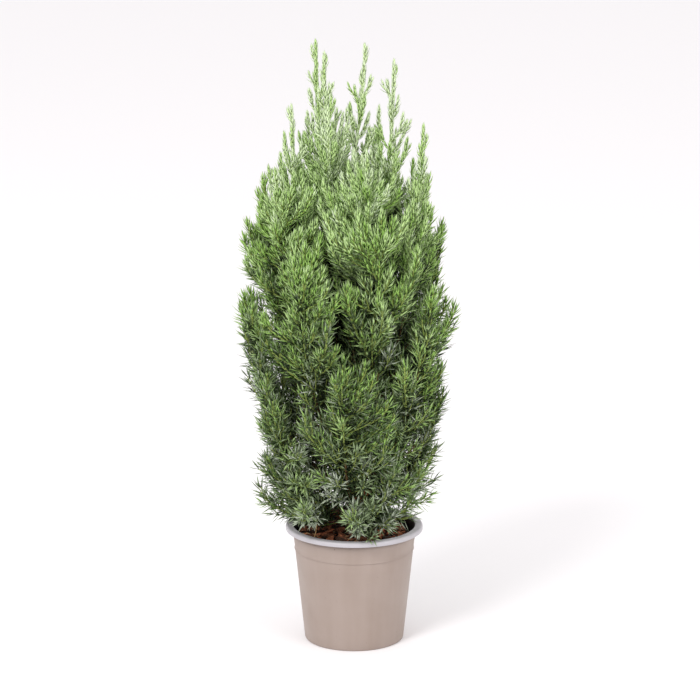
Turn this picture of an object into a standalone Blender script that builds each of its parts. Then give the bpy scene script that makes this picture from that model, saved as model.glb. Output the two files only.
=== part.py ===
"""A young Chinese juniper in a round nursery pot.

Metres, +Z up. The origin is the middle of the pot's flat underside. The front is
towards -Y, and the crown is a little fuller on its left side, towards -X.
"""

import math
import random

import bmesh
import bpy
from mathutils import Vector, noise
from mathutils.bvhtree import BVHTree

UP = Vector((0, 0, 1))
FLAT = Vector((1, 1, 0))
GOLDEN_ANGLE = math.radians(137.508)
# How far the middle of a round corner stands in from each of its two sides
ROUND_MIDDLE = 1 - math.cos(math.radians(45))

# Pieces that touch on the plant stand this far apart
GAP = 0.0003

# Pot
POT_HEIGHT = 0.112
RIM_RADIUS = 0.065
LIP_OVERHANG = 0.0063
LIP_DROP = 0.0045
LIP_ROUND = 0.0014
WALL = 0.0013
FLOOR = 0.0018
WALL_SLOPE = 0.106
RIDGE_Z = 0.0885
RIDGE_STEP = 0.0005
FOOT_ROUND = 0.0015
POT_SEGMENTS = 36
DRAIN_COUNT = 6
DRAIN_RADIUS = 0.004
DRAIN_RING_RADIUS = 0.031

# Potting mix
MIX_Z = 0.103
MIX_SEGMENTS = 18
MIX_LUMP = 0.0016
MIX_LUMP_SIZE = 0.011
MIX_TOP_RINGS = (0.047, 0.035, 0.024, 0.014)

# Trunk
TRUNK_TOP_Z = 0.405
TRUNK_LEAN = (-0.004, 0.003)
TRUNK_BOW = 0.004
FLARE_RADIUS = 0.0082
FLARE_HEIGHT = 0.010
TRUNK_FOOT_RADIUS = 0.0052
TRUNK_TOP_RADIUS = 0.0015
TRUNK_TAPER = 0.85
TRUNK_RING_CROWDING = 1.6
TRUNK_SIDES = 10
TRUNK_RINGS = 11

# Crown: its reach from the trunk, by height
CROWN_REACH = 0.097
CROWN_WIDEST_Z = 0.335
CROWN_RISE = 0.245
CROWN_FOOT_SHARE = 0.80
CROWN_FOOT_Z = 0.135
CROWN_SHIFT = -0.006

# Tips of the tall spires, x, y and z, from the lowest fork to the highest
SPIRES = (
    (0.064, -0.014, 0.494),
    (-0.056, -0.022, 0.512),
    (0.020, 0.050, 0.500),
    (0.014, -0.046, 0.474),
    (-0.037, 0.020, 0.566),
    (0.036, 0.008, 0.550),
    (-0.027, -0.013, 0.560),
)
LEADER_TIP = (0.0095, 0.000, 0.566)

# Groups of plumes: how many, turn of the first in degrees, heights of their tips and of
# their forks from the first to the last, how far out they go at first as a share of their
# reach, how much their tips lean outwards, the share of each that is a bare bough, and how
# much longer a spray grows for each metre that it stands below the tip
GROUPS = {
    "low": {
        "count": 8,
        "turn": 165,
        "tips": (0.155, 0.290),
        "forks": (0.111, 0.142),
        "spread": (0.75, 0.75),
        "lean": (0.90, 0.15),
        "bare": 0.20,
        "growth": 0.62,
    },
    "side": {
        "count": 9,
        "turn": 190,
        "tips": (0.335, 0.455),
        "forks": (0.146, 0.205),
        "spread": (0.62, 0.55),
        "lean": (0.20, 0.10),
        "bare": 0.20,
        "growth": 0.42,
    },
    "top": {
        "count": len(SPIRES),
        "forks": (0.214, 0.290),
        "spread": (0.60, 0.50),
        "lean": (0.02, 0.02),
        "bare": 0.20,
        "growth": 0.36,
    },
}

# A plume's curve: its knee's height as a share of its rise, and its neck's depth below the tip
KNEE_RISE = 0.10
NECK_SHARE = 0.48
CURVE_STEPS = 60
TANGENT_STEP = 0.001

# Boughs
BOUGH_ROOT_RADIUS = 0.0024
BOUGH_TIP_RADIUS = 0.0015
BOUGH_SIDES = 6
BOUGH_STEP = 0.014
BOUGH_ROOT_INSIDE = 0.0005

# Foliage: a stem with whorls of needles, and sprays dealt round it
STEM_STEP = 0.0160
STEM_RADIUS = 0.0015
STEM_TIP_RADIUS = 0.0008
STEM_BARE_SHARE = 0.60
SPRAY_SPACING = (0.0231, 0.0176)
SPRAY_FIRST = 0.0130
SPRAY_LAST = 0.0077
SPRAY_LENGTH = 0.046
SPRAY_SHORTEST = 0.009
SPRAY_VARIATION = (0.85, 1.10)
SPRAY_SHARES = (1, 0.8, 0.62, 0.45)
SPRAY_ANGLE = math.radians(58)
SPRAY_LIFT = 0.38
SPRAY_STEP = 0.0105
SPRAY_RADIUS = 0.0011
SPRAY_TIP_RADIUS = 0.0007
NEEDLE_LOW = 0.0130
NEEDLE_HIGH = 0.0080
NEEDLE_LOW_ANGLE = math.radians(58)
NEEDLE_HIGH_ANGLE = math.radians(30)
NEEDLES_LOW_Z = 0.16
NEEDLES_HIGH_Z = 0.50
WHORL = 3
WHORL_TWIST = math.radians(37)

# A mass's own space: room kept to the next mass's half, and to any limb or finished mass
SPACE_MARGIN = 0.0008
LIMB_MARGIN = 0.0009
AXIS_STEPS = 40

COLOURS = {
    "pot": ((0.47, 0.36, 0.32, 1), 0.5),
    "potting_mix": ((0.035, 0.018, 0.012, 1), 0.95),
    "bark": ((0.16, 0.075, 0.045, 1), 0.9),
    "foliage_low": ((0.085, 0.20, 0.085, 1), 0.6),
    "foliage_side": ((0.10, 0.27, 0.065, 1), 0.6),
    "foliage_top": ((0.20, 0.40, 0.11, 1), 0.6),
}


def clear_scene():
    for obj in list(bpy.data.objects):
        bpy.data.objects.remove(obj, do_unlink=True)


def material(name):
    found = bpy.data.materials.get(name)
    if found:
        return found
    made = bpy.data.materials.new(name)
    made.use_nodes = True
    shader = made.node_tree.nodes["Principled BSDF"]
    colour, roughness = COLOURS[name]
    shader.inputs["Base Color"].default_value = colour
    shader.inputs["Roughness"].default_value = roughness
    shader.inputs["Metallic"].default_value = 0
    return made


def add_object(name, mesh, finish):
    obj = bpy.data.objects.new(name, mesh)
    bpy.context.scene.collection.objects.link(obj)
    mesh.materials.append(material(finish))
    return obj


def add_mesh(name, bm, finish):
    bmesh.ops.recalc_face_normals(bm, faces=bm.faces)
    mesh = bpy.data.meshes.new(name)
    bm.to_mesh(mesh)
    bm.free()
    return add_object(name, mesh, finish)


def hide_helper(obj):
    obj.hide_render = True
    obj.display_type = "WIRE"


def mix(a, b, share):
    return a + (b - a) * share


def smooth(share):
    share = min(max(share, 0), 1)
    return share * share * (3 - 2 * share)


def spun(profile, segments):
    """A closed mesh turned round Z from a profile of (radius, height) that starts and ends on the axis."""
    bm = bmesh.new()
    verts = [bm.verts.new((radius, 0, z)) for radius, z in profile]
    edges = [bm.edges.new(pair) for pair in zip(verts, verts[1:])]
    bmesh.ops.spin(
        bm,
        geom=verts + edges,
        cent=(0, 0, 0),
        axis=UP,
        angle=math.tau,
        steps=segments,
        use_merge=True,
    )
    bmesh.ops.remove_doubles(bm, verts=bm.verts, dist=1e-6)
    return bm


def pot_radius(z):
    """The outside of the pot's wall at a height."""
    at_rim = RIM_RADIUS - LIP_OVERHANG
    return at_rim - (POT_HEIGHT - z) * WALL_SLOPE


def make_pot():
    foot = pot_radius(0)
    under_lip = POT_HEIGHT - WALL
    skirt = RIM_RADIUS - WALL
    inside = [
        (0, FLOOR),
        (pot_radius(FLOOR) - WALL, FLOOR),
        (pot_radius(POT_HEIGHT) - WALL, POT_HEIGHT - LIP_ROUND),
        (pot_radius(POT_HEIGHT) - WALL + LIP_ROUND, POT_HEIGHT),
    ]
    lip_middle = ROUND_MIDDLE * LIP_ROUND
    lip = [
        (RIM_RADIUS - LIP_ROUND, POT_HEIGHT),
        (RIM_RADIUS - lip_middle, POT_HEIGHT - lip_middle),
        (RIM_RADIUS, POT_HEIGHT - LIP_ROUND),
        (RIM_RADIUS, POT_HEIGHT - LIP_DROP),
        (skirt, POT_HEIGHT - LIP_DROP),
        (skirt, under_lip),
        (pot_radius(under_lip), under_lip),
    ]
    outside = [
        (pot_radius(RIDGE_Z) + RIDGE_STEP, RIDGE_Z + RIDGE_STEP),
        (pot_radius(RIDGE_Z), RIDGE_Z),
        (pot_radius(FOOT_ROUND), FOOT_ROUND),
        (foot - ROUND_MIDDLE * FOOT_ROUND, ROUND_MIDDLE * FOOT_ROUND),
        (foot - FOOT_ROUND, 0),
        (0, 0),
    ]
    pot = add_mesh("pot", spun(inside + lip + outside, POT_SEGMENTS), "pot")
    pot.data.shade_smooth()
    pot.data.set_sharp_from_angle(angle=math.radians(40))
    cut_drain_holes(pot)


def cut_drain_holes(pot):
    bm = bmesh.new()
    for i in range(DRAIN_COUNT):
        turn = math.tau * (i + 0.5) / DRAIN_COUNT
        hole = bmesh.ops.create_cone(
            bm,
            cap_ends=True,
            segments=12,
            radius1=DRAIN_RADIUS,
            radius2=DRAIN_RADIUS,
            depth=4 * FLOOR,
        )
        offset = DRAIN_RING_RADIUS * Vector((math.cos(turn), math.sin(turn), 0))
        bmesh.ops.translate(bm, verts=hole["verts"], vec=offset)
    cutter = add_mesh("drain_cutter", bm, "pot")
    hide_helper(cutter)
    cut = pot.modifiers.new("drain holes", "BOOLEAN")
    cut.operation = "DIFFERENCE"
    cut.object = cutter


def make_potting_mix():
    """A fill of the whole pot, lumpy on top and level round the trunk's foot."""
    bottom = FLOOR + GAP
    top = [(radius, MIX_Z) for radius in MIX_TOP_RINGS]
    profile = [(0, bottom)]
    profile += [(pot_radius(bottom) - WALL - GAP, bottom)]
    profile += [(pot_radius(MIX_Z) - WALL - GAP, MIX_Z)]
    bm = spun(profile + top + [(0, MIX_Z)], MIX_SEGMENTS)
    level = min(MIX_TOP_RINGS)
    for vert in bm.verts:
        if vert.co.z > MIX_Z - GAP and vert.co.xy.length > level + GAP:
            lump = noise.noise(vert.co / MIX_LUMP_SIZE)
            vert.co.z += MIX_LUMP * lump
    add_mesh("potting_mix", bm, "potting_mix")


def trunk_share(z):
    foot = MIX_Z + GAP
    return (z - foot) / (TRUNK_TOP_Z - foot)


def trunk_point(z):
    """The middle of the trunk at a height: it leans a little, and bows on the way."""
    share = trunk_share(z)
    lean = Vector((*TRUNK_LEAN, 0)) * share
    bow = TRUNK_BOW * math.sin(math.pi * share)
    return lean + Vector((bow, 0, z))


def trunk_radius(z):
    taper = mix(TRUNK_FOOT_RADIUS, TRUNK_TOP_RADIUS, trunk_share(z) ** TRUNK_TAPER)
    rise = min((z - MIX_Z - GAP) / FLARE_HEIGHT, 1)
    return taper + (FLARE_RADIUS - TRUNK_FOOT_RADIUS) * (1 - rise) ** 2


def ring(bm, centre, along, radius, sides, turn=0):
    """A ring of points round a path, square to it."""
    frame = UP.rotation_difference(along)
    made = []
    for i in range(sides):
        angle = turn + math.tau * i / sides
        offset = Vector((radius * math.cos(angle), radius * math.sin(angle), 0))
        made.append(bm.verts.new(centre + frame @ offset))
    return made


def join_rings(bm, low, high):
    for i, vert in enumerate(low):
        after = (i + 1) % len(low)
        bm.faces.new((vert, low[after], high[after], high[i]))


def tube(points, radii, sides):
    """A closed tapering limb along a list of points."""
    bm = bmesh.new()
    rings = []
    for i, point in enumerate(points):
        before = points[max(i - 1, 0)]
        after = points[min(i + 1, len(points) - 1)]
        rings.append(ring(bm, point, after - before, radii[i], sides))
    for low, high in zip(rings, rings[1:]):
        join_rings(bm, low, high)
    bm.faces.new(rings[0])
    bm.faces.new(rings[-1])
    return bm


def trunk_mesh(grow=0.0):
    foot = MIX_Z + GAP
    heights = []
    for i in range(TRUNK_RINGS):
        share = (i / (TRUNK_RINGS - 1)) ** TRUNK_RING_CROWDING
        heights.append(mix(foot, TRUNK_TOP_Z, share))
    points = [trunk_point(z) for z in heights]
    points[0].z -= grow
    points[-1].z += grow
    bm = tube(points, [trunk_radius(z) + grow for z in heights], TRUNK_SIDES)
    level_foot(bm, foot - grow)
    return bm


def level_foot(bm, z):
    """Makes the lowest ring lie flat."""
    bm.verts.ensure_lookup_table()
    for vert in bm.verts[:TRUNK_SIDES]:
        vert.co.z = z


def make_trunk():
    trunk = add_mesh("trunk", trunk_mesh(), "bark")
    cutter = add_mesh("trunk_cutter", trunk_mesh(grow=GAP), "bark")
    hide_helper(cutter)
    return trunk, cutter


def crown_reach(z):
    """How far the tips of the plumes stand from the middle of the crown."""
    if z > CROWN_WIDEST_Z:
        return CROWN_REACH * (1 - ((z - CROWN_WIDEST_Z) / CROWN_RISE) ** 2)
    share = (CROWN_WIDEST_Z - z) / (CROWN_WIDEST_Z - CROWN_FOOT_Z)
    return CROWN_REACH * mix(1, CROWN_FOOT_SHARE, smooth(share))


def bezier(p0, p1, p2, p3, t):
    s = 1 - t
    return s**3 * p0 + 3 * s * s * t * p1 + 3 * s * t * t * p2 + t**3 * p3


class Plume:
    """A bough and the mass that it carries, on one curve from the trunk to the tip."""

    def __init__(self, group, number, fork_z, tip):
        self.group = group
        self.label = f"{group}_{number}"
        rule = GROUPS[group]
        share = share_of(number, rule["count"])
        tip = Vector(tip)
        fork = trunk_point(fork_z)
        flat = (tip - fork) * FLAT
        outward = flat.normalized()
        rise = tip.z - fork_z
        spread = mix(*rule["spread"], share) * flat.length
        lean = mix(*rule["lean"], share)
        knee = fork + outward * spread + UP * KNEE_RISE * rise
        neck = tip - NECK_SHARE * rise * (UP + lean * outward)
        self.curve = (fork, knee, neck, tip)
        self.phase = random.Random(self.label).uniform(0, math.tau)
        self.length = self.measure()
        self.bough_end = rule["bare"] * self.length

    def point(self, t):
        return bezier(*self.curve, t)

    def measure(self):
        """The curve's length, with a table that turns distance into the curve's own parameter."""
        points = [self.point(i / CURVE_STEPS) for i in range(CURVE_STEPS + 1)]
        self.travel = [0.0]
        for a, b in zip(points, points[1:]):
            self.travel.append(self.travel[-1] + (b - a).length)
        return self.travel[-1]

    def at(self, distance):
        """The point this far along the curve from the trunk."""
        distance = min(max(distance, 0), self.length)
        i = 1
        while i < CURVE_STEPS and self.travel[i] < distance:
            i += 1
        span = self.travel[i] - self.travel[i - 1]
        share = (distance - self.travel[i - 1]) / span
        return self.point((i - 1 + share) / CURVE_STEPS)

    def along(self, distance):
        ahead = self.at(distance + TANGENT_STEP)
        behind = self.at(distance - TANGENT_STEP)
        return (ahead - behind).normalized()


class Leader(Plume):
    """The mass that goes on from the trunk's own tip."""

    def __init__(self):
        start = trunk_point(TRUNK_TOP_Z)
        tip = Vector(LEADER_TIP)
        self.group = "top"
        self.label = "leader"
        third = (tip.z - start.z) / 3
        self.curve = (start, start + UP * third, tip - UP * third, tip)
        self.phase = 0
        self.length = self.measure()
        self.bough_end = 0


def share_of(number, count):
    return (number - 1) / (count - 1)


def plan_plumes():
    """Every plume, dealt round the trunk by the golden angle from the lowest fork up."""
    plumes = []
    for group, rule in GROUPS.items():
        for number in range(1, rule["count"] + 1):
            share = share_of(number, rule["count"])
            fork_z = mix(*rule["forks"], share)
            if group == "top":
                tip = SPIRES[number - 1]
            else:
                turn = math.radians(rule["turn"]) + (number - 1) * GOLDEN_ANGLE
                tip_z = mix(*rule["tips"], share)
                reach = crown_reach(tip_z)
                tip = (
                    CROWN_SHIFT + reach * math.cos(turn),
                    reach * math.sin(turn),
                    tip_z,
                )
            plumes.append(Plume(group, number, fork_z, tip))
    plumes.append(Leader())
    return plumes


def make_bough(plume, cutter):
    """A limb from the trunk's side to where its mass begins, its root cut to the trunk's shape."""
    count = max(round(plume.bough_end / BOUGH_STEP), 2)
    points = []
    radii = []
    for i in range(count + 1):
        share = i / count
        points.append(plume.at(mix(BOUGH_ROOT_INSIDE, plume.bough_end, share)))
        radii.append(mix(BOUGH_ROOT_RADIUS, BOUGH_TIP_RADIUS, share))
    bough = add_mesh(f"bough_{plume.label}", tube(points, radii, BOUGH_SIDES), "bark")
    seat = bough.modifiers.new("seat on the trunk", "BOOLEAN")
    seat.operation = "DIFFERENCE"
    seat.object = cutter
    return bough


def needle_habit(z):
    """Length of a needle and its angle from the twig: long and spreading low down, short and close above."""
    share = smooth((z - NEEDLES_LOW_Z) / (NEEDLES_HIGH_Z - NEEDLES_LOW_Z))
    length = mix(NEEDLE_LOW, NEEDLE_HIGH, share)
    return length, mix(NEEDLE_LOW_ANGLE, NEEDLE_HIGH_ANGLE, share)


def toothed(points, radii, turn, grow=0.0, allowed=None, bare=0):
    """A slim core along some points, with a whorl of needles on each stretch and a needle at its end.

    Each needle is a side of the core drawn out to a point. With grow, the same shape is
    that much fatter all over. allowed says of a needle's point whether it may stand there,
    and the first stretches, as many as bare says, have no needles.
    """
    bm = bmesh.new()
    rings = []
    for i, point in enumerate(points[:-1]):
        before = points[max(i - 1, 0)]
        way = points[i + 1] - before
        rings.append(ring(bm, point, way, radii[i] + grow, WHORL, turn + i * WHORL_TWIST))
    for i, (low, high) in enumerate(zip(rings, rings[1:])):
        way = (points[i + 1] - points[i]).normalized()
        middle = (points[i] + points[i + 1]) / 2
        length, angle = needle_habit(middle.z)
        for j, vert in enumerate(low):
            after = (j + 1) % WHORL
            corners = (vert, low[after], high[after], high[j])
            foot = sum((corner.co for corner in corners), Vector()) / 4
            out = foot - middle
            out = (out - way * out.dot(way)).normalized()
            reach = (length + grow) * (out * math.sin(angle) + way * math.cos(angle))
            if i < bare or (allowed and not allowed(foot + reach)):
                bm.faces.new((vert, low[after], high[after]))
                bm.faces.new((vert, high[after], high[j]))
                continue
            point = bm.verts.new(foot + reach)
            for k, corner in enumerate(corners):
                bm.faces.new((corner, corners[(k + 1) % 4], point))
    end = points[-1] + grow * (points[-1] - points[-2]).normalized()
    tip = bm.verts.new(end)
    for j, vert in enumerate(rings[-1]):
        bm.faces.new((vert, rings[-1][(j + 1) % WHORL], tip))
    bm.faces.new(rings[0])
    bmesh.ops.recalc_face_normals(bm, faces=bm.faces)
    return bm


def stem_of(plume, allowed):
    """The stem of a mass, from its bough's tip or the trunk's to the tip of the plume."""
    start = plume.bough_end + GAP
    count = round((plume.length - start) / STEM_STEP)
    points = [plume.at(mix(start, plume.length, i / count)) for i in range(count + 1)]
    radii = [mix(STEM_RADIUS, STEM_TIP_RADIUS, i / count) for i in range(count + 1)]
    bare = round(STEM_BARE_SHARE * count)
    return toothed(points, radii, plume.phase, allowed=allowed, bare=bare)


def spray_points(plume, distance, number, share_kept):
    """A spray's points: it leaves the stem at an angle and lifts towards its tip."""
    growth = GROUPS[plume.group]["growth"]
    grown = SPRAY_SHORTEST + growth * (plume.length - distance)
    seeded = random.Random(f"{plume.label} spray {number}")
    length = min(grown, SPRAY_LENGTH) * seeded.uniform(*SPRAY_VARIATION) * share_kept
    way = plume.along(distance)
    turn = plume.phase + number * GOLDEN_ANGLE
    side = UP.rotation_difference(way) @ Vector((math.cos(turn), math.sin(turn), 0))
    root = plume.at(distance)
    count = max(round(length / SPRAY_STEP), 2)
    points = []
    for i in range(count + 1):
        share = i / count
        angle = SPRAY_ANGLE * (1 - SPRAY_LIFT * share)
        reach = length * share
        points.append(root + reach * (side * math.sin(angle) + way * math.cos(angle)))
    return points


def spray_mesh(points, turn, grow=0.0):
    last = len(points) - 1
    radii = [mix(SPRAY_RADIUS, SPRAY_TIP_RADIUS, i / last) for i in range(last + 1)]
    return toothed(points, radii, turn, grow)


class Space:
    """Which part of the crown belongs to which mass, and what is already standing there."""

    def __init__(self, plumes, solids):
        self.axes = {}
        for plume in plumes:
            start = plume.bough_end
            self.axes[plume.label] = [
                plume.at(mix(start, plume.length, i / AXIS_STEPS))
                for i in range(AXIS_STEPS + 1)
            ]
        self.verts = []
        self.faces = []
        for solid in solids:
            self.add(solid)

    def add(self, obj):
        """Takes the object as it is after its modifiers."""
        graph = bpy.context.evaluated_depsgraph_get()
        mesh = obj.evaluated_get(graph).to_mesh()
        start = len(self.verts)
        self.verts += [vert.co.copy() for vert in mesh.vertices]
        for face in mesh.polygons:
            self.faces.append([start + i for i in face.vertices])
        self.tree = BVHTree.FromPolygons(self.verts, self.faces)

    def nearest(self, point, label):
        return min((point - other).length for other in self.axes[label])

    def owns(self, label, point):
        """Whether a point is nearer to this mass's stem than to any other's."""
        mine = self.nearest(point, label) + SPACE_MARGIN
        for other in self.axes:
            if other != label and self.nearest(point, other) < mine:
                return False
        return True

    def clear(self, bm):
        """Whether a shape touches nothing that stands already."""
        return not BVHTree.FromBMesh(bm).overlap(self.tree)

    def near(self, point, distance):
        """Whether anything that stands already is this near to a point."""
        return self.tree.find_nearest(point, distance)[0] is not None


def make_foliage(plume, space):
    """One mass: a stem of needles with sprays fused on where they stay in its own space."""
    finish = f"foliage_{plume.group}"

    def allowed(point):
        return space.owns(plume.label, point) and not space.near(point, LIMB_MARGIN)

    stem = add_mesh(f"foliage_{plume.label}", stem_of(plume, allowed), finish)
    sprays = bpy.data.collections.new(f"sprays {plume.label}")
    distance = plume.bough_end + SPRAY_FIRST
    number = 0
    while distance < plume.length - SPRAY_LAST:
        bm = fitting_spray(plume, distance, number, space)
        if bm:
            mesh = bpy.data.meshes.new("spray")
            bm.to_mesh(mesh)
            bm.free()
            sprays.objects.link(bpy.data.objects.new("spray", mesh))
        distance += mix(*SPRAY_SPACING, distance / plume.length)
        number += 1
    fuse(stem, sprays)
    space.add(stem)
    return stem


def fitting_spray(plume, distance, number, space):
    """The longest spray that stays in the mass's own space and clear of every limb, or None."""
    for share_kept in SPRAY_SHARES:
        points = spray_points(plume, distance, number, share_kept)
        turn = number * GOLDEN_ANGLE
        fat = spray_mesh(points, turn, grow=LIMB_MARGIN)
        inside = all(space.owns(plume.label, vert.co) for vert in fat.verts)
        if inside and space.clear(fat):
            fat.free()
            return spray_mesh(points, turn)
        fat.free()
    return None


def fuse(stem, sprays):
    """One union of the stem with all of its sprays, kept as its one outer skin."""
    join = stem.modifiers.new("sprays", "BOOLEAN")
    join.operation = "UNION"
    join.operand_type = "COLLECTION"
    join.collection = sprays
    join.solver = "MANIFOLD"
    graph = bpy.context.evaluated_depsgraph_get()
    fused = bpy.data.meshes.new_from_object(stem.evaluated_get(graph))
    stem.modifiers.clear()
    stem.data = fused
    for obj in list(sprays.objects):
        bpy.data.objects.remove(obj, do_unlink=True)
    bpy.data.collections.remove(sprays)
    keep_largest(stem.data)


def keep_largest(mesh):
    """Drops loose scraps and the skins of sealed hollows."""
    bm = bmesh.new()
    bm.from_mesh(mesh)
    bmesh.ops.triangulate(bm, faces=bm.faces)
    left = set(bm.verts)
    islands = []
    while left:
        island = set()
        front = [left.pop()]
        while front:
            vert = front.pop()
            island.add(vert)
            for edge in vert.link_edges:
                other = edge.other_vert(vert)
                if other in left:
                    left.remove(other)
                    front.append(other)
        islands.append(island)
    islands.sort(key=len)
    for island in islands[:-1]:
        bmesh.ops.delete(bm, geom=list(island), context="VERTS")
    bm.to_mesh(mesh)
    bm.free()


def main():
    clear_scene()
    make_pot()
    make_potting_mix()
    trunk, cutter = make_trunk()
    plumes = plan_plumes()
    limbs = [trunk]
    for plume in plumes:
        if plume.bough_end:
            limbs.append(make_bough(plume, cutter))
    solids = [bpy.data.objects["pot"], bpy.data.objects["potting_mix"]] + limbs
    space = Space(plumes, solids)
    for plume in plumes:
        make_foliage(plume, space)


main()
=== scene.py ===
"""The looks of a young Chinese juniper in its nursery pot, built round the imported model."""

from math import atan2, cos, hypot, pi, radians, sin, sqrt, tau
from random import Random

import bmesh
import bpy
import numpy as np
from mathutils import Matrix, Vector, noise
from numpy.linalg import norm


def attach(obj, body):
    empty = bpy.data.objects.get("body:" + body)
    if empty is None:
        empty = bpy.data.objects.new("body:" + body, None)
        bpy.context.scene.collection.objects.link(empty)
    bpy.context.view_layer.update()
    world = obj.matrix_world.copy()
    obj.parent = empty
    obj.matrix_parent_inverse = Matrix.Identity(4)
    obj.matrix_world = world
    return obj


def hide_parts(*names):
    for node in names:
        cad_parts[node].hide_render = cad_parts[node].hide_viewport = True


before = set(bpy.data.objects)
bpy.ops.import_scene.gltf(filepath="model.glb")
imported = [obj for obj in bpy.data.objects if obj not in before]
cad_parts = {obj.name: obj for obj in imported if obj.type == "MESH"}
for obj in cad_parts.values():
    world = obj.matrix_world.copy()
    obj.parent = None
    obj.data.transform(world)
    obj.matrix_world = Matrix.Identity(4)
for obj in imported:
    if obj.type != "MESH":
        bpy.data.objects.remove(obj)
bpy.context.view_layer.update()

GOLDEN_ANGLE = radians(137.508)
UP = np.array((0.0, 0.0, 1.0))
RANDOM = np.random.default_rng(5)

# How much a thing grown by rule varies, as shares of its size
VARIES = (0.85, 1.15)
VARIES_MORE = (0.8, 1.2)
VARIES_MOST = (0.75, 1.25)

# Pot and potting mix, as in the solids
POT_HEIGHT = 0.112
RIM_RADIUS = 0.065
LIP_OVERHANG = 0.0063
LIP_DROP = 0.0045
WALL = 0.0013
FLOOR = 0.0018
WALL_SLOPE = 0.106
RIDGE_Z = 0.0885
FOOT_ROUND = 0.0015
DRAIN_COUNT = 6
DRAIN_RING_RADIUS = 0.031
DRILL = {"segments": 28, "radius1": 0.004, "radius2": 0.004, "depth": 4 * FLOOR}
MIX_Z = 0.103

# The pot's roundings, and the swelling of its wall below the rim and its ridge, both as steps of
# (how far out, how far up)
FLOOR_ROUND = 0.002
LIP_ROUND_IN = 0.0016
LIP_ROUND_OUT = 0.0022
LIP_EDGE = 0.0004
ROOF_ROUND = 0.0006
SWELL_Z = POT_HEIGHT - 0.0072
SWELL = ((0.0001, 0), (0.0004, -0.0007), (0.0005, -0.0016), (0.0003, -0.0030))
SWELL_ENDS = 0.0042
RIDGE = ((0.0005, 0.0006), (0.0006, 0.0001), (-0.0002, 0), (-0.0002, -0.0004))
POT_SEGMENTS = 144

# The mix's surface: its lumps' and crumbs' scale and height, its drop near the wall and the
# level round that the trunk stands on
LUMPS = (75, 0.0022)
CRUMBS = (320, 0.0009)
EDGE_FROM = 0.046
EDGE_DROP = 0.0022
LEVEL_WITHIN = 0.008
SLOPES_OVER = 0.010
MIX_SEGMENTS = 110
MIX_RINGS = 46
MIX_RING_POWER = 0.8
MIX_TOP_GAP = 0.0002
MIX_FOOT_GAP = 0.0006

# Bark chips: how many of each length, breadth and thickness. Crumbs are shorter than CRUMB.
CHIP_SIZES = (
    (46, (0.0150, 0.0062, 0.0026)),
    (120, (0.0165, 0.0024, 0.0015)),
    (90, (0.0085, 0.0040, 0.0022)),
    (240, (0.0034, 0.0024, 0.0016)),
)
CRUMB = 0.005
CHIP_SCALES = (0.65, 1.3)
CHIP_TILT = 0.6
CHIP_SUNK = 0.45
CHIP_FROM_WALL = 0.0022
CHIP_SHARES = (0.40, 0.33, 0.27)

# How much a chip narrows and thins towards its ends, with the power of each, and how fine and how
# strong its unevenness is. It is read from one noise at places so far apart.
CHIP_NARROWS = (0.55, 2.2)
CHIP_THINS = (0.4, 3)
CHIP_ROUGH = (2.3, 0.16)
NOISES_APART = (0, 20, 40)

# Straws: many that lie on the mix, and one that leans at the front left, from its foot to its tip
STRAW_COUNT = 34
STRAW_POINTS = 7
STRAW_LENGTHS = (0.006, 0.020)
STRAW_RADII = (0.00022, 0.00042)
STRAW_BEND = 0.12
STRAWS_FROM_MIDDLE = 0.050
STRAWS_WITHIN = 0.0535
STRAW_LIFT = 0.0011
STRAW_END_LIFT = 0.0012
LEANING_ENDS = ((-0.0375, -0.030, MIX_Z - 0.001), (-0.0335, -0.026, MIX_Z + 0.019))
LEANING_BOW = (0.0012, 0, 0)
LEANING_RADIUS = 0.00065

# Trunk, as in the solids
GAP = 0.0003
TRUNK_TOP_Z = 0.405
TRUNK_LEAN = (-0.004, 0.003)
TRUNK_BOW = 0.004
FLARE_RADIUS = 0.0082
FLARE_HEIGHT = 0.010
TRUNK_RADII = (0.0052, 0.0015)
TRUNK_TAPER = 0.85

# Crown, as in the solids
CROWN_REACH = 0.097
CROWN_WIDEST_Z = 0.335
CROWN_RISE = 0.245
CROWN_FOOT_SHARE = 0.80
CROWN_FOOT_Z = 0.135
CROWN_SHIFT = -0.006
BOUGH_SHARE = 0.20
SPIRES = (
    (0.064, -0.014, 0.494),
    (-0.056, -0.022, 0.512),
    (0.020, 0.050, 0.500),
    (0.014, -0.046, 0.474),
    (-0.037, 0.020, 0.566),
    (0.036, 0.008, 0.550),
    (-0.027, -0.013, 0.560),
)
LEADER_TIP = (0.0095, 0.000, 0.566)
GROUP_KEYS = ("count", "turn", "tips", "forks", "spread", "lean", "growth")
GROUP_ROWS = {
    "low": (8, 165, (0.155, 0.290), (0.111, 0.142), (0.75, 0.75), (0.90, 0.15), 0.62),
    "side": (9, 190, (0.335, 0.455), (0.146, 0.205), (0.62, 0.55), (0.20, 0.10), 0.42),
    "top": (len(SPIRES), None, None, (0.214, 0.290), (0.60, 0.50), (0.02, 0.02), None),
}
GROUPS = {group: dict(zip(GROUP_KEYS, row)) for group, row in GROUP_ROWS.items()}
KNEE_RISE = 0.10
NECK_SHARE = 0.48
BOUGH_RADII = (0.0024, 0.0015)
SPRAY_LENGTH = 0.046
SPRAY_VARIATION = (0.85, 1.10)

# Bark: the noises of its relief, each with its weight, its scale round the limb and its rate
# along it. TRUNK_BARK and BOUGH_BARK are the limb's sides and how strong its relief is, and the
# trunk's seed. A bough's foot widens to a collar.
BARK_NOISES = ((0.55, 3.1, 90), (0.30, 7.5, 260), (0.15, 0.7, 420))
TRUNK_BARK = (36, 0.16, 3.0)
TRUNK_RINGS = 230
TRUNK_SUNK = 0.002
BOUGH_BARK = (14, 0.13)
BOUGH_RINGS = 44
BOUGH_ENDS = (0.001, 0.0015)
COLLAR = 0.5
COLLAR_LENGTH = 0.004

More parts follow.
